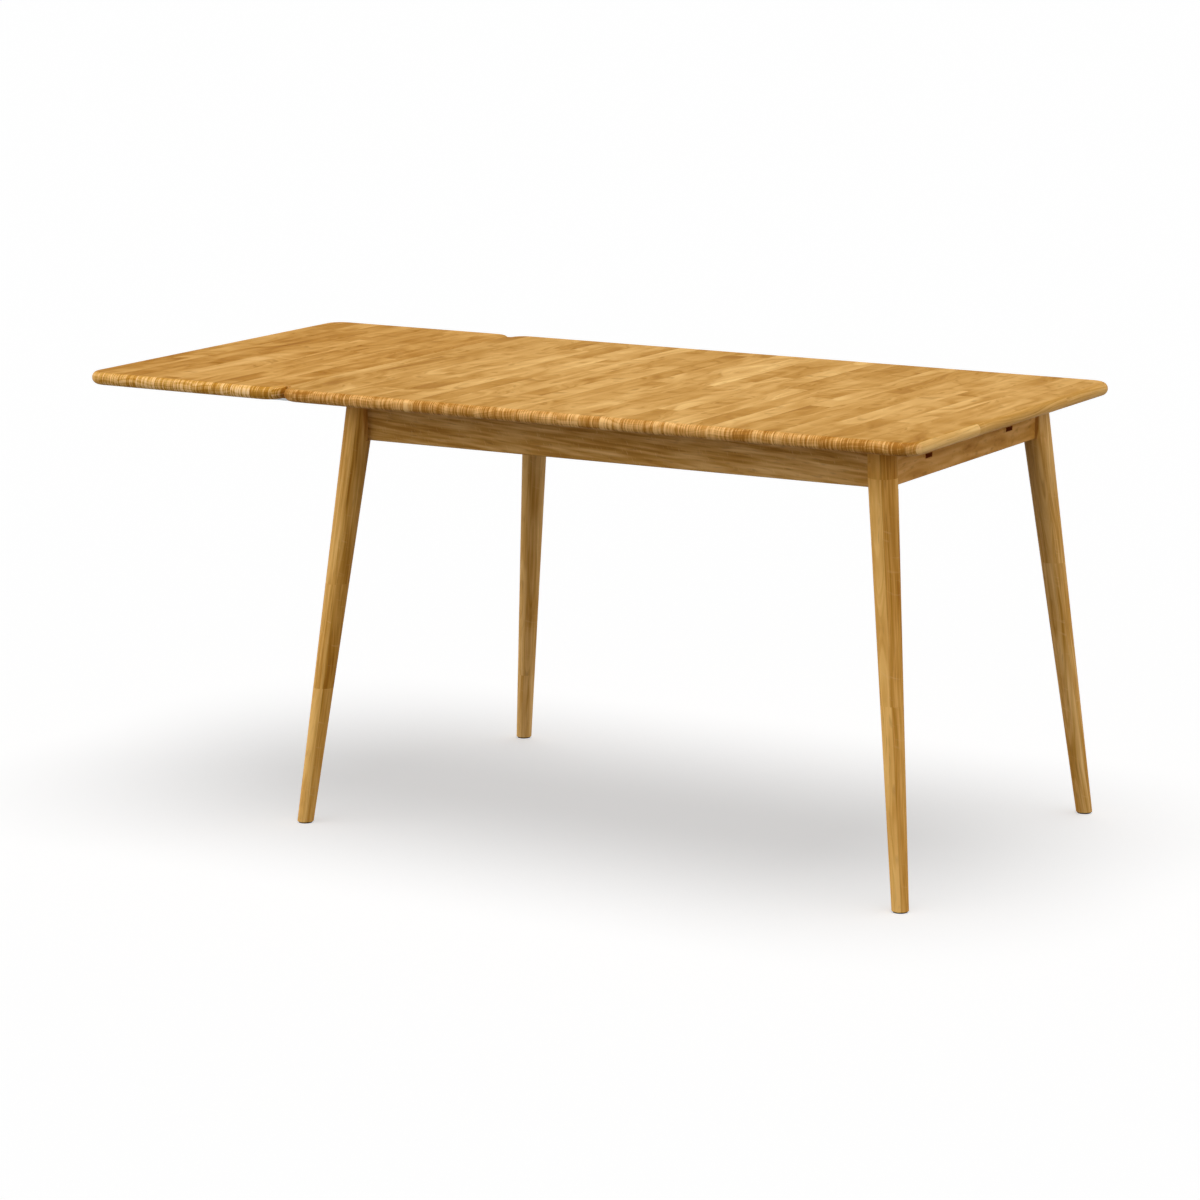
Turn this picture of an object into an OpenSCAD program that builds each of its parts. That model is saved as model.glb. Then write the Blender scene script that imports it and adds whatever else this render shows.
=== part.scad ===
// Oak dining table with one add-on leaf at its left end.
// The leaf rides on two flat steel bars, which slide through slots in the end apron and a guide rail.
// Front is -Y, the leaf is at -X, and the floor is at z = 0. All sizes are in millimetres.

/* [Table top] */
// Length of the fixed top, end to end
top_l = 1200; // [1000:10:1800]
// Width of the top and the leaf
top_w = 785; // [740:5:1000]
// Thickness of the top and the leaf
top_t = 22; // [20:1:28]
// Height of the top face above the floor
table_h = 760; // [700:5:800]
// Radius of the four outer corners, seen from above
corner_r = 38; // [30:1:70]
// Radius of the corners where the leaf meets the top
seam_r = 36; // [26:1:60]

/* [Leaf] */
// Length of the leaf, from the seam to its outer edge
leaf_l = 407; // [350:1:500]
// Gap between the leaf and the top when pushed home
seam_gap = 0.4; // [0.3:0.1:1]
// Distance between the two bars, centre to centre
bar_spacing = 311; // [240:1:340]
// How far the pair of bars sits behind the centre line
bar_offset = 13.5; // [0:0.5:20]
// Width of a bar
bar_w = 25; // [20:1:30]
// Thickness of a bar
bar_t = 6; // [5:0.5:7]
// Depth of the bars' centre line below the top face
bar_drop = 60; // [56:0.5:66]
// How far a bar reaches past the guide rail
bar_past_rail = 15; // [8:1:40]
// Bevel at the corners of a bar's inner end, which lets it find its slots
bar_nose = 4; // [1:1:6]
// Play at each side of a bar in its slot
slot_side_play = 0.5; // [0.3:0.1:1]
// Play above and below a bar in its slot
slot_height_play = 0.75; // [0.4:0.05:1.2]
// Distance from a batten's ends to the leaf's edges
batten_inset = 25; // [20:1:40]
// Number of screws along each batten
batten_screws = 3; // [2:1:4]

/* [Aprons] */
// Height of the aprons
apron_h = 70; // [62:1:90]
// Thickness of the aprons
apron_t = 20; // [18:1:24]
// Bevel along the lower edges of the aprons and guide rails
edge_bevel = 1.5; // [0.5:0.5:3]
// Overhang of the top past the end aprons
overhang_end = 95; // [80:1:120]
// Overhang of the top past the long aprons
overhang_side = 96.5; // [80:0.5:110]

/* [Legs] */
// Diameter at the top end of a leg
leg_top_d = 50; // [46:1:52]
// Diameter at the foot of a leg
leg_foot_d = 28; // [26:1:40]
// Distance from the top's edge in to the centre of a foot
foot_inset = 27.3; // [20:0.1:45]
// Depth, at the aprons' lower edge, of the flats on a leg that the aprons butt against
flat_depth = 1.5; // [0.5:0.5:4]
// Thickness of the felt pad under a foot
pad_t = 2.5; // [1.5:0.5:5]
// Diameter of a felt pad
pad_d = 24; // [16:1:26]

/* [Guide rails] */
// Distance of a guide rail from the middle of the table
rail_x = 130; // [100:5:160]
// Thickness of a guide rail
rail_t = 20; // [18:1:26]
// Height of a guide rail
rail_h = 60; // [56:1:62]
// Diameter of the dowels
dowel_d = 8; // [6:1:10]

/* [Corner blocks] */
// Thickness of a corner block
block_t = 24; // [20:1:30]
// Height of a corner block
block_h = 54; // [50:1:60]
// Distance from the aprons' inner corner to a block's outer face
block_back = 28; // [20:1:36]
// Nominal diameter of the hanger bolts
bolt_d = 8; // [6:1:8]
// Distance between the two hanger bolts of a leg
bolt_spacing = 28; // [24:1:30]
// Diameter of the wood screws
screw_d = 4; // [3.5:0.5:5]

/* [Top clips] */
// Width of a clip
clip_w = 20; // [14:1:24]
// Thickness of the clips' steel
clip_t = 2; // [1.5:0.5:2.5]
// Distance from the middle of the table to the outer clips
clip_x = 330; // [240:5:360]

/* [Hidden] */
$fn = 64;
fit = 0.05;                         // radial room round a fastener in its hole
cut = 1;                            // how far a cutting shape runs past the wood
edge_r = top_t / 2;                 // the outer edges are fully rounded
under_z = table_h - top_t;          // underside of the top
apron_z = under_z - apron_h;        // lower edge of the aprons
total_l = top_l + leaf_l + seam_gap;
main_x = total_l / 2 - top_l / 2;   // middle of the fixed top
seam_x = -top_l / 2;                // these and the values below count from the middle of the fixed top
leaf_x = seam_x - seam_gap - leaf_l / 2;

end_face = top_l / 2 - overhang_end;
side_face = top_w / 2 - overhang_side;
end_inner = end_face - apron_t;
side_inner = side_face - apron_t;

foot_x = top_l / 2 - foot_inset;
foot_y = top_w / 2 - foot_inset;
leg_in_end = 4.8;                   // leg axis inside the end apron's face, at the aprons' lower edge
leg_out_side = 1.2;                 // leg axis outside the long apron's face, at the aprons' lower edge
leg_turn = 120;                     // turn of a leg about its own axis
leg_low_x = end_face - leg_in_end;
leg_low_y = side_face + leg_out_side;
splay_x = (foot_x - leg_low_x) / apron_z;
splay_y = (foot_y - leg_low_y) / apron_z;
leg_taper = (leg_top_d - leg_foot_d) / 2 / under_z;
leg_low_r = leg_foot_d / 2 + leg_taper * apron_z;
side_end = leg_low_x - leg_low_r + flat_depth;   // half the length of a long apron
end_end = leg_low_y - leg_low_r + flat_depth;    // half the length of an end apron

bar_z = table_h - bar_drop;
bar_y = [bar_offset - bar_spacing / 2, bar_offset + bar_spacing / 2];
slot_w = bar_w + 2 * slot_side_play;
slot_h = bar_t + 2 * slot_height_play;
batten_x1 = leaf_x - leaf_l / 2 + batten_inset;
batten_x2 = leaf_x + leaf_l / 2 - batten_inset;
bar_end = -rail_x + rail_t / 2 + bar_past_rail;
leaf_screw_l = 48;
leaf_screw_d = 5;
leaf_screw_inset = 20;

dowel_in_rail = 20;
dowel_in_apron = 12;
dowel_gap = 28;
rail_mid_z = under_z - rail_h / 2;

mid_z = under_z - apron_h / 2;
bolt_line = ((side_end - side_inner) + (end_inner - end_end)) / 2;   // x - y along a bolt
block_sum1 = end_inner + side_inner - block_back * sqrt(2);          // x + y on a block's outer face
block_sum2 = block_sum1 - block_t * sqrt(2);                         // x + y on its inner face
bolt_zs = [mid_z - bolt_spacing / 2, mid_z + bolt_spacing / 2];
bolt_sum_out = leg_low_x + leg_low_y + 4;
bolt_tail = 12;                     // bolt past the block, for its washer and nut
bolt_room = 0.5;                    // radial room round a bolt where it passes through wood
washer_t = 1.6;
washer_d = 17;
nut_h = 6.5;
nut_w = 13;
block_screw_l = 28;
block_screw_z = 13;                 // screws above and below the block's middle
block_mid_long = (block_sum1 + block_sum2) / 2 - side_inner;
block_mid_end = (block_sum1 + block_sum2) / 2 - end_inner;

clip_drop = 12;                     // from the top's underside to the lower face of a clip's tongue
clip_tongue = 8;
clip_foot = 18;
kerf_room = 0.2;
clip_screw_l = 14;
clip_head_h = 2.5;
clip_head_r = 4;

// Puts what is placed from the middle of the fixed top where it belongs
module on_table() {
    translate([main_x, 0, 0]) children();
}

// A glued-up panel, its top face at z = 0; its outer edges are fully rounded, its seam edge is square
module panel(l, seam) {
    split = seam * (l / 2 - corner_r - seam_r);
    for (sx = [-1, 1]) {
        r = sx == seam ? seam_r : corner_r;
        half = l / 2 - sx * split;
        for (sy = [-1, 1]) translate([sx * (l / 2 - r), sy * (top_w / 2 - r), -edge_r]) {
            translate([0, 0, -edge_r]) cylinder(r = r - edge_r, h = top_t);
            rotate_extrude() translate([r - edge_r, 0]) circle(edge_r);
        }
        translate([split, 0, 0]) mirror([sx < 0 ? 1 : 0, 0, 0]) {
            translate([0, r - top_w / 2, -top_t]) cube([half - edge_r, top_w - 2 * r, top_t]);
            translate([0, edge_r - top_w / 2, -top_t]) cube([half - r, top_w - 2 * edge_r, top_t]);
            for (sy = [-1, 1]) translate([0, sy * (top_w / 2 - edge_r), -edge_r]) rotate([0, 90, 0])
                cylinder(r = edge_r, h = half - r);
        }
    }
    translate([-seam * (l / 2 - edge_r), corner_r - top_w / 2, -edge_r]) rotate([-90, 0, 0])
        cylinder(r = edge_r, h = top_w - 2 * corner_r);
    translate([seam > 0 ? l / 2 - edge_r : -l / 2, seam_r - top_w / 2, -top_t])
        cube([edge_r, top_w - 2 * seam_r, top_t]);
}

// A countersunk wood screw along +Z, its head's face at z = 0; room widens it into its hole
module wood_screw(d, l, room = 0) {
    head_r = d;
    neck_z = head_r - d / 2;
    tip = d;
    rotate_extrude() polygon([
        [0, 0], [head_r + room, 0], [d / 2 + room, neck_z], [d / 2 + room, l - tip], [0, l + room]
    ]);
}

// Places its children at every top clip: z = 0 at the underside, +Y towards the apron's inner face
module at_clips() {
    for (side = [-1, 1], x = [-clip_x, 0, clip_x])
        translate([x, side * side_inner, under_z]) rotate(side > 0 ? 0 : 180) children();
    for (side = [-1, 1])
        translate([side * end_inner, 0, under_z]) rotate(side > 0 ? -90 : 90) children();
}

module clip_kerf() {
    translate([-clip_w / 2 - cut, -cut, -clip_drop - kerf_room])
        cube([clip_w + 2 * cut, clip_tongue + cut + kerf_room, clip_t + 2 * kerf_room]);
}

module clip_screw(room = 0) {
    translate([0, -kerf_room - clip_t - clip_foot / 2, -clip_t]) {
        rotate([180, 0, 0]) cylinder(r = clip_head_r, h = clip_head_h);
        cylinder(r = screw_d / 2 + room, h = clip_screw_l);
    }
}

// Places its children at the wood screws that hold a corner block, in the ++ corner
module at_block_screws() {
    for (s = [-1, 1]) {
        translate([block_mid_long, side_inner - block_t / 2, mid_z + s * block_screw_z])
            rotate([-90, 0, 0]) children();
        translate([end_inner - block_t / 2, block_mid_end, mid_z + s * block_screw_z])
            rotate([0, 90, 0]) children();
    }
}

// Places its children at the hanger bolts of the ++ corner: z = 0 at the leg's end of the bolt
module at_bolts() {
    for (z = bolt_zs)
        translate([(bolt_sum_out + bolt_line) / 2, (bolt_sum_out - bolt_line) / 2, z])
            rotate([0, -90, 45]) children();
}

module in_corners() {
    for (sx = [0, 1], sy = [0, 1]) in_corner(sx, sy) children();
}

module in_corner(sx, sy) {
    mirror([sx, 0, 0]) mirror([0, sy, 0]) children();
}

module dowel(room = 0) {
    rotate([-90, 0, 0]) translate([0, 0, -dowel_in_rail - room])
        cylinder(r = dowel_d / 2 + room, h = dowel_in_rail + dowel_in_apron + 2 * room);
}

module at_dowels() {
    for (sx = [-1, 1], side = [0, 1], s = [-1, 1]) mirror([0, side, 0])
        translate([sx * rail_x, side_inner, rail_mid_z + s * dowel_gap / 2]) children();
}

module bar_slots(x, t) {
    for (y = bar_y) translate([x - t / 2 - cut, y - slot_w / 2, bar_z - slot_h / 2])
        cube([t + 2 * cut, slot_w, slot_h]);
}

module at_leaf_screws(y) {
    step = (batten_x2 - batten_x1 - 2 * leaf_screw_inset) / (batten_screws - 1);
    for (i = [0 : batten_screws - 1])
        translate([batten_x1 + leaf_screw_inset + i * step, y, bar_z - bar_t / 2]) children();
}

module main_top() {
    color("#c9924a") on_table() difference() {
        translate([0, 0, table_h]) panel(top_l, -1);
        at_clips() clip_screw(fit);
    }
}

module leaf_top() {
    color("#c9924a") on_table() difference() {
        translate([leaf_x, 0, table_h]) panel(leaf_l, 1);
        for (y = bar_y) at_leaf_screws(y) wood_screw(leaf_screw_d, leaf_screw_l, fit);
    }
}

// A board along +X from the origin, with its two lower edges bevelled
module board(l, t, h) {
    rotate([90, 0, 90]) linear_extrude(l) polygon([
        [0, edge_bevel], [edge_bevel, 0], [t - edge_bevel, 0], [t, edge_bevel], [t, h], [0, h]
    ]);
}

module long_apron_blank() {
    translate([-side_end, side_inner, apron_z]) board(2 * side_end, apron_t, apron_h);
}

module end_apron_blank() {
    translate([end_face, -end_end, apron_z]) rotate(90) board(2 * end_end, apron_t, apron_h);
}

module leg() {
    past = 30;
    lean = atan2(norm([splay_x, splay_y]), 1);
    turn = atan2(-splay_y, -splay_x);
    slant = norm([splay_x, splay_y, 1]);
    wide = 3 * leg_top_d;
    difference() {
        translate([foot_x, foot_y, 0]) rotate([0, lean, turn]) rotate(leg_turn) translate([0, 0, -past])
            cylinder(r1 = leg_foot_d / 2 - leg_taper * past / slant,
                     r2 = leg_top_d / 2 + leg_taper * past / slant,
                     h = under_z * slant + 2 * past);
        translate([foot_x - wide / 2, foot_y - wide / 2, pad_t - wide]) cube(wide);
        translate([leg_low_x - wide / 2, leg_low_y - wide / 2, under_z]) cube(wide);
        translate([side_end - wide, leg_low_y - wide / 2, apron_z]) cube(wide);
        translate([leg_low_x - wide / 2, end_end - wide, apron_z]) cube(wide);
        at_bolts() translate([0, 0, -fit]) cylinder(r = bolt_d / 2 + fit, h = 2 * leg_top_d);
    }
}

module leg_at(sx, sy) {
    color("#b9823f") on_table() in_corner(sx, sy) leg();
}

module foot_pads() {
    color("#4a4038") on_table() in_corners()
        translate([foot_x - splay_x * pad_t, foot_y - splay_y * pad_t, 0]) cylinder(d = pad_d, h = pad_t);
}

module long_apron(side) {
    color("#b07a3c") on_table() mirror([0, side, 0]) difference() {
        long_apron_blank();
        mirror([0, side, 0]) at_clips() clip_kerf();
        mirror([0, side, 0]) at_dowels() dowel(fit);
        for (sx = [0, 1]) mirror([sx, 0, 0]) {
            at_block_screws() wood_screw(screw_d, block_screw_l, fit);
            at_bolts() cylinder(r = bolt_d / 2 + bolt_room, h = 2 * leg_top_d);
        }
    }
}

module end_apron(side) {
    color("#b07a3c") on_table() mirror([side, 0, 0]) difference() {
        end_apron_blank();
        mirror([side, 0, 0]) at_clips() clip_kerf();
        bar_slots(end_face - apron_t / 2, apron_t);
        for (sy = [0, 1]) mirror([0, sy, 0]) {
            at_block_screws() wood_screw(screw_d, block_screw_l, fit);
            at_bolts() cylinder(r = bolt_d / 2 + bolt_room, h = 2 * leg_top_d);
        }
    }
}

module guide_rail(side) {
    color("#b07a3c") on_table() difference() {
        translate([side * rail_x + rail_t / 2, -side_inner, under_z - rail_h]) rotate(90)
            board(2 * side_inner, rail_t, rail_h);
        bar_slots(side * rail_x, rail_t);
        at_dowels() dowel(fit);
    }
}

module rail_dowels() {
    color("#d8b98a") on_table() at_dowels() dowel();
}

module corner_block() {
    difference() {
        translate([0, 0, mid_z - block_h / 2]) linear_extrude(block_h) polygon([
            [block_sum1 - side_inner, side_inner], [block_sum2 - side_inner, side_inner],
            [end_inner, block_sum2 - end_inner], [end_inner, block_sum1 - end_inner]
        ]);
        at_bolts() cylinder(r = bolt_d / 2 + bolt_room, h = 4 * leg_top_d);
        at_block_screws() wood_screw(screw_d, block_screw_l, fit);
        at_block_screws() translate([0, 0, -block_t]) cylinder(r = screw_d + fit, h = block_t);
    }
}

module corner_block_at(sx, sy) {
    color("#c9a06a") on_table() in_corner(sx, sy) corner_block();
}

module corner_block_screws() {
    color("#c8b060") on_table() in_corners() at_block_screws() wood_screw(screw_d, block_screw_l);
}

bolt_to_block = (bolt_sum_out - block_sum2) / sqrt(2);

module hanger_bolts() {
    color("#b8bcc0") on_table() in_corners() at_bolts() cylinder(d = bolt_d, h = bolt_to_block + bolt_tail);
}

module hanger_washers() {
    color("#c8ccd0") on_table() in_corners() at_bolts() translate([0, 0, bolt_to_block]) difference() {
        cylinder(d = washer_d, h = washer_t);
        translate([0, 0, -cut]) cylinder(d = bolt_d + 0.4, h = washer_t + 2 * cut);
    }
}

module hanger_nuts() {
    color("#c8ccd0") on_table() in_corners() at_bolts() translate([0, 0, bolt_to_block + washer_t]) difference() {
        cylinder(d = nut_w / cos(30), h = nut_h, $fn = 6);
        translate([0, 0, -cut]) cylinder(r = bolt_d / 2 + fit, h = nut_h + 2 * cut);
    }
}

module top_clip() {
    difference() {
        union() {
            translate([-clip_w / 2, -kerf_room - clip_t, -clip_drop])
                cube([clip_w, clip_t + kerf_room + clip_tongue, clip_t]);
            translate([-clip_w / 2, -kerf_room - clip_t, -clip_drop]) cube([clip_w, clip_t, clip_drop]);
            translate([-clip_w / 2, -kerf_room - clip_t - clip_foot, -clip_t])
                cube([clip_w, clip_foot + clip_t, clip_t]);
        }
        translate([0, -kerf_room - clip_t - clip_foot / 2, -clip_t - cut])
            cylinder(r = screw_d / 2 + fit, h = clip_t + 2 * cut);
    }
}

module top_clips() {
    color("#c8ccd0") on_table() at_clips() top_clip();
}

module top_clip_screws() {
    color("#c8b060") on_table() at_clips() clip_screw();
}

module leaf_batten(y) {
    color("#b9823f") on_table() difference() {
        translate([batten_x1, y - bar_w / 2, bar_z + bar_t / 2])
            cube([batten_x2 - batten_x1, bar_w, under_z - bar_z - bar_t / 2]);
        at_leaf_screws(y) wood_screw(leaf_screw_d, leaf_screw_l, fit);
    }
}

module leaf_bar(y) {
    color("#3a3c3e") on_table() difference() {
        translate([0, y, bar_z - bar_t / 2]) linear_extrude(bar_t) polygon([
            [batten_x1, -bar_w / 2], [bar_end - bar_nose, -bar_w / 2], [bar_end, bar_nose - bar_w / 2],
            [bar_end, bar_w / 2 - bar_nose], [bar_end - bar_nose, bar_w / 2], [batten_x1, bar_w / 2]
        ]);
        at_leaf_screws(y) wood_screw(leaf_screw_d, leaf_screw_l, fit);
    }
}

module leaf_screws() {
    color("#c8b060") on_table() for (y = bar_y) at_leaf_screws(y) wood_screw(leaf_screw_d, leaf_screw_l);
}

main_top();
leaf_top();
leg_at(1, 1);  // leg_front_left
leg_at(0, 1);  // leg_front_right
leg_at(1, 0);  // leg_back_left
leg_at(0, 0);  // leg_back_right
foot_pads();
long_apron(1);  // front_apron
long_apron(0);  // back_apron
end_apron(1);  // left_end_apron
end_apron(0);  // right_end_apron
guide_rail(-1);  // left_guide_rail
guide_rail(1);  // right_guide_rail
rail_dowels();
corner_block_at(1, 1);  // corner_block_front_left
corner_block_at(0, 1);  // corner_block_front_right
corner_block_at(1, 0);  // corner_block_back_left
corner_block_at(0, 0);  // corner_block_back_right
corner_block_screws();
hanger_bolts();
hanger_washers();
hanger_nuts();
top_clips();
top_clip_screws();
leaf_batten(bar_y[0]);  // leaf_batten_front
leaf_batten(bar_y[1]);  // leaf_batten_back
leaf_bar(bar_y[0]);  // leaf_bar_front
leaf_bar(bar_y[1]);  // leaf_bar_back
leaf_screws();
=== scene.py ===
import math
from functools import partial
import bpy
from mathutils import Euler, Matrix, Vector

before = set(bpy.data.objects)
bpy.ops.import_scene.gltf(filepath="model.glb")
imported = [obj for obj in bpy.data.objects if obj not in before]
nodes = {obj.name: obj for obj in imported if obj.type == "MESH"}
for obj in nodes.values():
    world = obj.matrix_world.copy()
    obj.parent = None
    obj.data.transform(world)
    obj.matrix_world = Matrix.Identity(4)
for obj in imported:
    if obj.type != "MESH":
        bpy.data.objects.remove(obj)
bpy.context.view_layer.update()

scene = bpy.context.scene
mm = 0.001
print("frame loaded:", len(nodes), "pieces")


def hexColour(code):
    # sRGB hex to linear RGBA
    parts = [int(code[i:i + 2], 16) / 255 for i in (0, 2, 4)]
    return [p / 12.92 if p <= 0.04045 else ((p + 0.055) / 1.055) ** 2.4 for p in parts] + [1.0]


def addNode(tree, kind, links=(), out=0, **settings):
    # adds a node, sets its values and links, and gives back one of its outputs;
    # links go by the inputs' names or numbers, or in a list in their order.
    # A mix of colours takes them at inputs 6 and 7 and gives its result at output 2
    node = tree.nodes.new("ShaderNode" + kind)
    for key, value in settings.items():
        setattr(node, key, value)
    for key, source in (links.items() if isinstance(links, dict) else enumerate(links)):
        if isinstance(source, bpy.types.NodeSocket):
            tree.links.new(source, node.inputs[key])
        else:
            node.inputs[key].default_value = source
    return node.outputs[out] if node.outputs else None


def fillRamp(socket, colours, first=0.0, last=1.0):
    # sRGB hex colours, spread evenly between two places on the ramp
    ramp = socket.node.color_ramp
    while len(ramp.elements) < len(colours):
        ramp.elements.new(0.5)
    for i, code in enumerate(colours):
        ramp.elements[i].position = first + (last - first) * i / (len(colours) - 1)
        ramp.elements[i].color = hexColour(code)


def newMaterial(name):
    material = bpy.data.materials.new(name)
    material.use_nodes = True
    material.node_tree.nodes.clear()
    return material, material.node_tree


def dress(names, material):
    for name in names:
        mesh = nodes[name].data
        mesh.materials.clear()
        mesh.materials.append(material)


# oak, oiled: honey brown and nearly matt, with open pores that stay a little rougher than the wood
oak = {
    # from dark late wood to the palest early wood; the eye takes the middle for the wood's colour
    "ramp": ["a66f20", "bd8837", "d09d51", "e2b268", "f1c67c"],
    "poreColour": "7d5223", "fleckColour": "efc283", "glueColour": "8a5c2a",
    "slotShadeColour": "a8561e",          # painted shade: slot walls take the red brown of oak deep in shade
    "ior": 1.5,
    "gloss": 0.10,                   # oiled wood shines far less than lacquer
    "roughness": 0.58, "poreRoughness": 0.18,
    "bump": 0.3, "bumpDepth": 0.3,   # strength, and depth in mm
    "poreDepth": -0.8, "lineHeight": 0.5,
    "glueWidth": 0.6,                # to each side, in mm
    "slotShadeSize": (9.7, 4.5),         # half of the painted slot shade's depth and height
    "fleckLean": 0.45,               # how far the flecks lean, across against along
    "endFacing": (0.07, 0.36),       # how squarely end grain faces out, where it starts and is full
    "shortest": 0.65, "longer": 0.70,    # lengths in a stave: the least in blocks, and what is added
    "firstJoint": 4.0, "stagger": 3.1,   # where its joints begin, and the most they shift, in m
    "wanderSize": (200, 71.43),      # how slowly the rings stray, along and across
    "wanderDetail": 1.5,
}

# the patterns: how finely each breaks up, and for dashes and spots, where they start and are full
patterns = {
    "cloud": {"detail": 2.0}, "ring": {"detail": 3.0}, "line": {"detail": 1.0},
    "endRing": {"detail": 2.5}, "endCloud": {"detail": 2.0},
    "streak": {"detail": 2.0, "cut": (0.42, 0.85)},
    "pore": {"detail": 1.0, "cut": (0.30, 0.90)},
    "fleck": {"detail": 1.0, "cut": (0.50, 0.90)},
}
noiseGain = 3.4       # noise keeps near its middle; this spreads it to about -1 to 1
noiseRoughness = 0.55
toneStep = 0.30       # how far a pattern of strength 1 moves the tone
noiseApart = 37.0     # lays the noise of two blocks far apart,
streakApart = 5.0     # the streaks away from the rings,
seedApart = 1.7       # and the pieces of wood away from each other


def oiledOak(name, look):
    material, tree = newMaterial(name)
    add = partial(addNode, tree)

    place = add("TexCoord", out="Object")
    if "axis" in look:       # a leg: measured from its own leaning axis
        foot, lean = look["axis"]
        height = add("SeparateXYZ", [place], out="Z")
        shift = add("VectorMath", {0: lean, "Scale": height}, operation="SCALE")
        place = add("VectorMath", [place, shift], operation="SUBTRACT")
        place = add("VectorMath", [place, foot], operation="SUBTRACT")
    parts = add("SeparateXYZ", [place]).node.outputs
    along, across, through = parts[look["along"]], parts[look["across"]], parts[look["through"]]

    # which stave or ply, and which length of it
    tone = look["tone"]
    if "joints" in look:     # a leg: known glue plane and joints, lowest first
        offset, lowStep, highStep = look["ply"]
        past = add("Math", [across, offset * mm], operation="GREATER_THAN")
        upper = add("Math", [along, look["joints"][0][0]], operation="GREATER_THAN")
        step = add("Math", [upper, highStep - lowStep, lowStep], operation="MULTIPLY_ADD")
        tone = add("Math", [past, step, tone], operation="MULTIPLY_ADD")
        fromCentre = across
        edge = add("Math", [across, offset * mm], operation="SUBTRACT")
        edge = add("Math", [edge], operation="ABSOLUTE")
        stave = add("Math", [past, look["seed"]], operation="ADD")
        block = 0.0
        for height, step in look["joints"]:
            above = add("Math", [along, height], operation="GREATER_THAN")
            block = add("Math", [above, block], operation="ADD")
            tone = add("Math", [above, step, tone], operation="MULTIPLY_ADD")
    else:
        width = look["staveWidth"] * mm
        stave = add("Math", [across, look["staveShift"] * mm], operation="ADD")
        stave = add("Math", [stave, width], operation="DIVIDE")
        fromCentre = add("Math", [stave], operation="FRACT")
        fromCentre = add("Math", [fromCentre, 0.5], operation="SUBTRACT")
        fromCentre = add("Math", [fromCentre, width], operation="MULTIPLY")
        edge = add("Math", [fromCentre], operation="ABSOLUTE")
        edge = add("Math", [width / 2, edge], operation="SUBTRACT")
        stave = add("Math", [stave], operation="FLOOR")
        stave = add("Math", [stave, look["seed"]], operation="ADD")
        dice = add("TexWhiteNoise", {"W": stave}, noise_dimensions="1D").node.outputs
        start = add("Math", [dice["Value"], oak["stagger"], oak["firstJoint"]],
                    operation="MULTIPLY_ADD")
        block = add("Math", [along, start], operation="ADD")
        usual = look["blockLength"] * mm
        length = add("SeparateXYZ", [dice["Color"]], out="Y")
        length = add("Math", [length, usual * oak["longer"], usual * oak["shortest"]],
                     operation="MULTIPLY_ADD")
        block = add("Math", [block, length], operation="DIVIDE")
        block = add("Math", [block], operation="FLOOR")
    block = add("CombineXYZ", [stave, block, look["seed"] * seedApart])
    own = add("TexWhiteNoise", {"Vector": block}, noise_dimensions="3D").node.outputs
    rolls = add("SeparateXYZ", [own["Color"]]).node.outputs
    away = add("Math", [own["Value"], noiseApart], operation="MULTIPLY")

    def grain(part, u, v, w):
        # noise stretched along the grain to the pattern's width and length
        size, finish = look[part], patterns[part]
        u = add("Math", [u, 1 / (size[0] * mm)], operation="MULTIPLY")
        v = add("Math", [v, 1 / (size[1] * mm)], operation="MULTIPLY")
        at = add("CombineXYZ", [u, v, w])
        noise = add("TexNoise", {"Vector": at, "Scale": 1.0, "Detail": finish["detail"],
                                 "Roughness": noiseRoughness})
        noise = add("Math", [noise, noiseGain, -noiseGain / 2], operation="MULTIPLY_ADD")
        if "cut" in finish:
            start, full = finish["cut"]
            noise = add("MapRange", {"Value": noise, "From Min": start, "From Max": full})
        return noise

    # distance from the middle of the tree that the stave was cut from
    slow = [add("Math", [way, 1 / (size * mm)], operation="MULTIPLY")
            for way, size in zip((along, across), oak["wanderSize"])]
    wander = add("CombineXYZ", [*slow, away])
    wander = add("TexNoise", {"Vector": wander, "Scale": 1.0, "Detail": oak["wanderDetail"]})
    pithSide, pithBelow, pithLean = look["pith"]
    side = add("Math", [rolls["X"], 0.5], operation="SUBTRACT")
    side = add("Math", [side, 2 * pithSide * mm, fromCentre], operation="MULTIPLY_ADD")
    lean = add("Math", [rolls["Y"], 0.5], operation="SUBTRACT")
    lean = add("Math", [lean, 2 * pithLean], operation="MULTIPLY")
    below = add("Math", [along, lean, through], operation="MULTIPLY_ADD")
    below = add("Math", [rolls["Z"], pithBelow * mm, below], operation="MULTIPLY_ADD")
    below = add("Math", [wander, look["wander"] * mm, below], operation="MULTIPLY_ADD")
    radius = add("CombineXYZ", [side, below])
    radius = add("VectorMath", [radius], out="Value", operation="LENGTH")
    radius = add("Math", [wander, look["wander"] * mm / 2, radius], operation="MULTIPLY_ADD")

    # tone: each block's own, then broad soft streaks, ring lines, fine lines and mineral streaks
    if "fade" in look:       # staves that get a shade darker towards one end
        start, stop, step = look["fade"]
        fade = add("MapRange", {"Value": across, "From Min": start, "From Max": stop,
                                "To Min": step, "To Max": 0.0})
        tone = add("Math", [tone, fade], operation="ADD")
    roll = add("Math", [own["Value"], 0.5], operation="SUBTRACT")
    tone = add("Math", [roll, look["blockTone"], tone], operation="MULTIPLY_ADD")
    for part, u in (("cloud", fromCentre), ("ring", radius), ("line", radius)):
        lines = grain(part, u, along, away)
        tone = add("Math", [lines, toneStep * look[part][2], tone], operation="MULTIPLY_ADD")
    streak = add("Math", [away, streakApart], operation="ADD")
    streak = grain("streak", radius, along, streak)
    tone = add("Math", [streak, -look["streak"][2], tone], operation="MULTIPLY_ADD")

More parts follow.
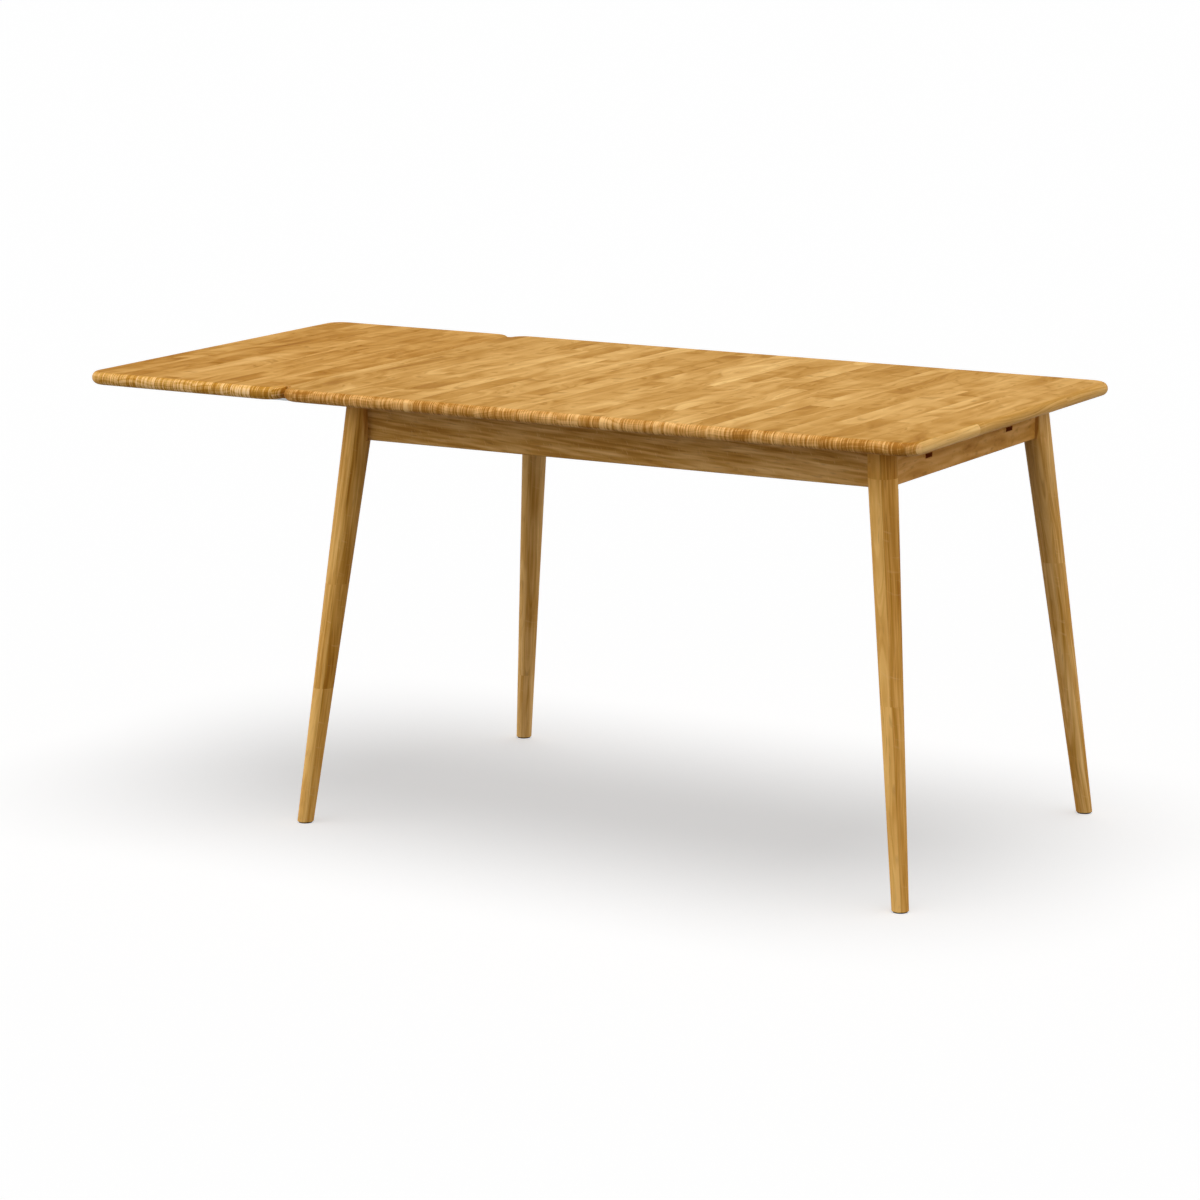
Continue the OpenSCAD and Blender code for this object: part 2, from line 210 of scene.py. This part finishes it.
    # cut ends: rings seen end on
    facing = add("TexCoord", out="Normal")
    facing = add("SeparateXYZ", [facing], out=look["along"])
    facing = add("Math", [facing], operation="ABSOLUTE")
    start, full = oak["endFacing"]
    facing = add("MapRange", {"Value": facing, "From Min": start, "From Max": full})
    tilted = add("Math", [lean, through, across], operation="MULTIPLY_ADD")
    ends = 0.0
    for part, u in (("endRing", tilted), ("endCloud", across)):
        rings = grain(part, u, through, away)
        ends = add("Math", [rings, toneStep * look[part][2], ends], operation="MULTIPLY_ADD")
    tone = add("Math", [ends, facing, tone], operation="MULTIPLY_ADD")
    colour = add("ValToRGB", [tone])
    fillRamp(colour, look["ramp"])
    colour = add("Mix", {"Factor": facing, 6: colour, 7: look["endTint"]}, out=2,
                 data_type="RGBA", blend_type="MULTIPLY")

    # what lies over the wood's own colour: dark pores, pale ray flecks that lean across the grain,
    # painted shade on the walls of slots between the board's faces, and glue lines
    pores = grain("pore", radius, along, away)
    sunk = add("Math", [pores, look["pore"][2]], operation="MULTIPLY")
    slant = add("Math", [across, oak["fleckLean"], along], operation="MULTIPLY_ADD")
    fleck = grain("fleck", slant, across, away)
    fleck = add("Math", [fleck, look["fleck"][2]], operation="MULTIPLY")
    glue = add("MapRange", {"Value": edge, "From Min": 0.0, "From Max": oak["glueWidth"] * mm,
                            "To Min": look["glueLine"], "To Max": 0.0})
    marksAndShade = [(sunk, "poreColour"), (fleck, "fleckColour"), (glue, "glueColour")]
    # painted shade: inside the slots the walls are coloured a darker, redder oak, as shade there
    # would make them
    if "slots" in look:
        slotShadeMask = 1.0
        for way, spot, reach in zip((through, across), look["slots"], oak["slotShadeSize"]):
            off = add("Math", [way, spot], operation="SUBTRACT")
            off = add("Math", [off], operation="ABSOLUTE")
            inside = add("Math", [off, reach * mm], operation="LESS_THAN")
            slotShadeMask = add("Math", [inside, slotShadeMask], operation="MULTIPLY")
        marksAndShade.insert(2, (slotShadeMask, "slotShadeColour"))
    for amount, markKey in marksAndShade:
        colour = add("Mix", {"Factor": amount, 6: colour, 7: hexColour(oak[markKey])}, out=2,
                     data_type="RGBA")

    relief = add("Math", [lines, oak["lineHeight"]], operation="MULTIPLY")
    relief = add("Math", [pores, oak["poreDepth"], relief], operation="MULTIPLY_ADD")
    bump = add("Bump", {"Strength": oak["bump"], "Distance": oak["bumpDepth"] * mm,
                        "Height": relief})
    rough = add("Math", [pores, oak["poreRoughness"], oak["roughness"]],
                operation="MULTIPLY_ADD")
    surface = add("BsdfPrincipled", {
        "Base Color": colour, "Roughness": rough, "IOR": oak["ior"],
        "Specular IOR Level": oak["gloss"], "Normal": bump})
    add("OutputMaterial", {"Surface": surface})
    return material


# table top: staves that run across the table. Sizes are in millimetres; real oak rings are
# 2 to 3 mm apart and pores 0.3 mm wide, both drawn coarser so that they show in the render
middle = 0.2037                      # the fixed top's middle along the table, in metres
topLook = {
    "along": "Y", "across": "X", "through": "Z",
    "staveWidth": 40, "staveShift": 2.7, "blockLength": 430, "blockTone": 0.36,
    "cloud": (26, 400, 0.70),        # broad soft streaks: width, length, strength
    "ring": (7, 300, 0.74),
    "line": (2.8, 170, 0.80),
    "pore": (1.6, 36, 0.30),
    "streak": (12, 240, 0.26),       # now and then a dark mineral streak
    "fleck": (5, 22, 0.10),          # here the length is across the grain
    "pith": (110, 40, 0.03),         # how far the tree's middle is sideways and below, and its lean
    "wander": 16,                    # how far the rings stray
    "endRing": (2.2, 45, 2.7),       # rings on cut ends
    "endCloud": (24, 120, 1.2),      # broad pale and dark patches on cut ends
    "endTint": (1.02, 0.95, 0.98, 1),   # cut ends are a touch rosier: red, green, blue times this
    "glueLine": 0.20, "seed": 63.0, "tone": 0.48, "ramp": oak["ramp"],
}
# a tenth of the ramp darker at the seam, fading out short of the middle: start, stop, step
mainLook = dict(topLook, fade=(middle - 0.6, middle - 0.1, -0.10))
dress(["main_top"], oiledOak("oiled oak staves, fixed top", mainLook))

# leaf: a batch of its own, a shade browner, with paler cut ends
leafLook = dict(topLook, staveShift=11.0, seed=76.0, tone=0.50, cloud=(26, 380, 0.7),
                endRing=(1.9, 45, 2.6), endCloud=(13, 90, 0.6), endTint=(1.28, 1.4, 1.9, 1),
                ramp=["9c6212", "b27921", "c89242", "daa659", "eaba74"])
dress(["leaf_top"], oiledOak("oiled oak staves, leaf", leafLook))

# aprons, rails and battens: single boards, grain lengthwise, so one stave and one length cover
# each; their ramps are bluer than the top's: painted light, standing in for the paler fill in the
# top's shade
apronLook = dict(topLook, along="X", across="Z", through="Y", staveWidth=400, staveShift=60,
                 blockLength=9000, blockTone=0.1, cloud=(26, 900, 1.0), ring=(5, 450, 1.0),
                 line=(2.2, 80, 1.4), pore=(1.4, 24, 0.4), fleck=(1.8, 12, 0.5),
                 pith=(50, 60, 0.03), wander=7, glueLine=0.0, seed=5.0, tone=0.345,
                 ramp=["a67024", "bd893d", "d09e59", "e2b472", "f1c888"])
# end aprons and rails: a ramp bluer still, painted light for the shade they stand in
endLook = dict(apronLook, along="Y", through="X", cloud=(24, 240, 0.4), ring=(3.4, 160, 0.6),
               line=(2.3, 90, 1.1), fleck=(1.8, 12, 0.2), pith=(50, 160, 0.01), wander=4,
               seed=6.0, tone=0.30, ramp=["a86e21", "c08738", "d49d55", "e6b26e", "f5c582"])
endAway = 0.495                      # from the middle to an end apron, in metres
slotHeight = 0.7
boards = {
    "front apron": (["front_apron"], apronLook),
    "back apron": (["back_apron"], dict(apronLook, seed=8.0)),
    "right end apron": (["right_end_apron"], dict(endLook, slots=(middle + endAway, slotHeight))),
    "left end apron": (["left_end_apron"], dict(endLook, seed=9.0,
                                                slots=(middle - endAway, slotHeight))),
    "guide rails": (["left_guide_rail", "right_guide_rail"],
                    dict(endLook, seed=12.0, fleck=(1.8, 12, 0.1))),
    "battens": (["leaf_batten_front", "leaf_batten_back"],
                dict(apronLook, seed=14.0, fleck=(1.8, 12, 0.1))),
}
for name, (pieces, look) in boards.items():
    dress(pieces, oiledOak("oiled oak, " + name, look))
print("top, leaf, aprons and rails oiled")

# legs: two plies each, glued up from lengths. joints: height in metres, and the tone's step there;
# ply: where the glue plane lies in mm, and the tone's step there below and above the lowest joint
legFoot = (0.5727, 0.3652)           # foot centres from the middle of the fixed top
legLean = (0.1085, 0.1018)           # how far the axis comes in for each metre of height
legLook = dict(topLook, along="Z", through="Y", cloud=(14, 200, 0.8), ring=(5, 180, 1.1),
               line=(2.6, 90, 0.8), fleck=(5, 22, 0.22), pith=(50, 50, 0.02), blockTone=0.1,
               glueLine=0.18, ramp=["a76b19", "be842e", "d29946", "e3ad5b", "f2bf6e"])
# back legs: a bluer ramp, painted light standing in for the paler fill in the shade under the table
shadedLegRamp = ["a76e1e", "be8836", "d29d51", "e3b269", "f2c47f"]
legs = {
    "front right": {"side": (1, -1), "seed": 31.0, "joints": [(0.328, -0.10), (0.686, -0.24)],
                    "ply": (7.5, -0.40, -0.34), "tone": 0.84},
    "front left": {"side": (-1, -1), "seed": 37.0, "joints": [(0.238, -0.22), (0.42, 0.04)],
                   "ply": (9, -0.34, -0.28), "tone": 0.86},
    "back right": {"side": (1, 1), "seed": 41.0, "joints": [(0.45, -0.07)],
                   "ply": (14, -0.20, 0.04), "tone": 0.60, "ramp": shadedLegRamp},
    "back left": {"side": (-1, 1), "seed": 43.0, "joints": [(0.126, -0.08)],
                  "ply": (4, -0.06, -0.06), "tone": 0.77, "ramp": shadedLegRamp},
}
for name, own in legs.items():
    sideX, sideY = own["side"]
    foot = (middle + sideX * legFoot[0], sideY * legFoot[1], 0)
    lean = (-sideX * legLean[0], -sideY * legLean[1], 0)
    material = oiledOak("oiled oak, leg " + name, {**legLook, **own, "axis": (foot, lean)})
    dress(["leg_" + name.replace(" ", "_")], material)
print("legs oiled")

# small parts: darkest and palest colour, and the size in mm of the patches between them, which
# also rough up the sheen; a stretch below 1 draws the patches out that way
smallLooks = {
    # beech dowels and planed oak blocks: paler, dry to the eye, no oil
    "planed beech": {"nodes": ["rail_dowels"],
                     "low": "c79a68", "high": "ddb889", "patch": 16.67,
                     "stretch": (1, 0.12, 1), "rough": 0.6, "metal": 0, "bump": 0.2},
    "planed oak blocks": {"nodes": ["corner_block_front_left", "corner_block_front_right",
                                    "corner_block_back_left", "corner_block_back_right"],
                          "low": "b98d57", "high": "d9b27c", "patch": 11.11,
                          "stretch": (1, 1, 0.12), "rough": 0.62, "metal": 0, "bump": 0.3},
    # zinc-plated steel: bluish grey, slightly clouded, satin
    "zinc plated steel, satin": {"nodes": ["hanger_bolts", "hanger_washers", "hanger_nuts",
                                           "top_clips"],
                                 "low": "9aa0a4", "high": "c9ced1", "patch": 8.333,
                                 "stretch": (1, 1, 1), "rough": 0.34, "metal": 1, "bump": 0.1},
    # yellow passivated screws: brassy, clouded where the bath took unevenly
    "yellow passivated steel": {"nodes": ["corner_block_screws", "top_clip_screws", "leaf_screws"],
                                "low": "a98f4e", "high": "d8bf7a", "patch": 4.545,
                                "stretch": (1, 1, 1), "rough": 0.30, "metal": 1, "bump": 0.1},
    # drawn steel bars, zinc plated: duller, brushed along their length
    "zinc plated steel, drawn": {"nodes": ["leaf_bar_front", "leaf_bar_back"],
                                 "low": "a3a7a9", "high": "cdd0d2", "patch": 3.846,
                                 "stretch": (0.06, 1, 1), "rough": 0.42, "metal": 1, "bump": 0.2},
    # wool felt: matt, dark brown; its fibres are far finer and drawn coarse, to show as a speckle
    # the pads' dark brown is partly the felt's own and partly painted contact shade where each foot
    # meets the floor
    "needled wool felt": {"nodes": ["foot_pads"],
                          "low": "2b2119", "high": "4d4034", "patch": 0.7143,
                          "stretch": (1, 1, 0.4), "rough": 0.95, "metal": 0, "bump": 0.9},
}
roughSpread = 0.12
patchDetail = 3.0
patchEdges = (0.35, 0.65)            # where on the noise the two colours stand
patchDepth = 0.2                     # of the bump, in mm
for name, look in smallLooks.items():
    material, tree = newMaterial(name)
    add = partial(addNode, tree)
    place = add("TexCoord", out="Object")
    place = add("VectorMath", [place, look["stretch"]], operation="MULTIPLY")
    patch = add("TexNoise", {"Vector": place, "Scale": 1 / (look["patch"] * mm),
                             "Detail": patchDetail})
    colour = add("ValToRGB", [patch])
    fillRamp(colour, [look["low"], look["high"]], *patchEdges)
    rough = add("Math", [patch, roughSpread, look["rough"] - roughSpread / 2],
                operation="MULTIPLY_ADD")
    bump = add("Bump", {"Strength": look["bump"], "Distance": patchDepth * mm,
                        "Height": patch})
    surface = add("BsdfPrincipled", {
        "Base Color": colour, "Roughness": rough, "Metallic": look["metal"], "Normal": bump})
    add("OutputMaterial", {"Surface": surface})
    dress(look["nodes"], material)
print("blocks, steel and felt done")

# studio: a white floor to the horizon, a dome that is brighter low down, and three very soft suns
studio = {
    "floorSize": 400,
    "floor": "d2d2d2", "lift": 0.54,      # the lift keeps the shadow as pale as in the photograph
    "bounce": "8a8a8a",                   # what the floor throws back at the table
    "lowSky": 0.75, "highSky": 0.05,      # the dome's strength at the horizon and high up
    "skyTurn": 0.6,                       # the height, of 1 at the top, where it has faded
    "seenSky": 1.0,                       # white to the camera
}
white = (1, 1, 1, 1)
bpy.ops.mesh.primitive_plane_add(size=studio["floorSize"], location=(0, 0, 0))
floor = bpy.context.object
floor.name = "studio_floor"
material, tree = newMaterial("matt white floor")
add = partial(addNode, tree)
rays = add("LightPath").node.outputs
seen = rays["Is Camera Ray"]
for kind in ("Is Glossy Ray", "Is Transmission Ray"):
    seen = add("Math", [seen, rays[kind]], operation="MAXIMUM")
paint = add("Mix", {"Factor": seen, 6: hexColour(studio["bounce"]),
                    7: hexColour(studio["floor"])}, out=2, data_type="RGBA")
matt = add("BsdfDiffuse", {"Color": paint})
lift = add("Math", [seen, studio["lift"]], operation="MULTIPLY")
glow = add("Emission", {"Color": white, "Strength": lift})
both = add("AddShader", [matt, glow])
under = add("NewGeometry", out="Backfacing")   # from below the floor is not there
clear = add("BsdfTransparent")
both = add("MixShader", [under, both, clear])
add("OutputMaterial", {"Surface": both})
floor.data.materials.append(material)

world = bpy.data.worlds.new("studio dome")
scene.world = world
world.use_nodes = True
world.node_tree.nodes.clear()
add = partial(addNode, world.node_tree)
height = add("TexCoord", out="Generated")
height = add("SeparateXYZ", [height], out="Z")
sky = add("MapRange", {"Value": height, "From Max": studio["skyTurn"],
                       "To Min": studio["lowSky"], "To Max": studio["highSky"]})
rays = add("LightPath").node.outputs
seen = add("Math", [rays["Is Camera Ray"], rays["Is Transmission Ray"]], operation="MAXIMUM")
strength = add("MapRange", {"Value": seen, "To Min": sky, "To Max": studio["seenSky"]})
sky = add("Background", {"Color": white, "Strength": strength})
add("OutputWorld", {"Surface": sky})

# the side suns light the table only, so the floor keeps the one shadow from above
tableOnly = bpy.data.collections.new("table only")
for piece in nodes.values():
    tableOnly.objects.link(piece)
suns = {
    "sun_above": {"power": 1.8, "angle": 50, "from": (0, 0, 1), "floor": True},
    "sun_left": {"power": 1.6, "angle": 54, "from": (-0.66, -0.62, 0.42), "floor": False},
    "sun_right": {"power": 1.2, "angle": 50, "from": (1.0, 0.03, 0.45), "floor": False},
}
for name, look in suns.items():
    lamp = bpy.data.lights.new(name, "SUN")
    lamp.energy = look["power"]
    lamp.angle = math.radians(look["angle"])
    holder = bpy.data.objects.new(name, lamp)
    scene.collection.objects.link(holder)
    holder.rotation_euler = (-Vector(look["from"])).to_track_quat("-Z", "Y").to_euler()
    if not look["floor"]:
        holder.light_linking.receiver_collection = tableOnly

# camera, solved from the photograph's edges; it is rolled by a tenth of a degree
cameraLook = {"place": (3.4978, -5.9846, 1.7703), "turn": 30.23, "tip": 11.459, "roll": -0.111,
              "lens": 121.386, "sensor": 36, "far": 500}
cameraData = bpy.data.cameras.new("camera")
cameraData.sensor_width = cameraLook["sensor"]
cameraData.lens = cameraLook["lens"]
cameraData.clip_end = cameraLook["far"]
camera = bpy.data.objects.new("camera", cameraData)
scene.collection.objects.link(camera)
camera.location = cameraLook["place"]
aim = Euler((math.radians(90 - cameraLook["tip"]), 0, math.radians(cameraLook["turn"]))).to_matrix()
aim = aim @ Matrix.Rotation(math.radians(cameraLook["roll"]), 3, "Z")
camera.rotation_euler = aim.to_euler()
scene.camera = camera
scene.view_settings.view_transform = "Standard"
print("studio and camera ready")
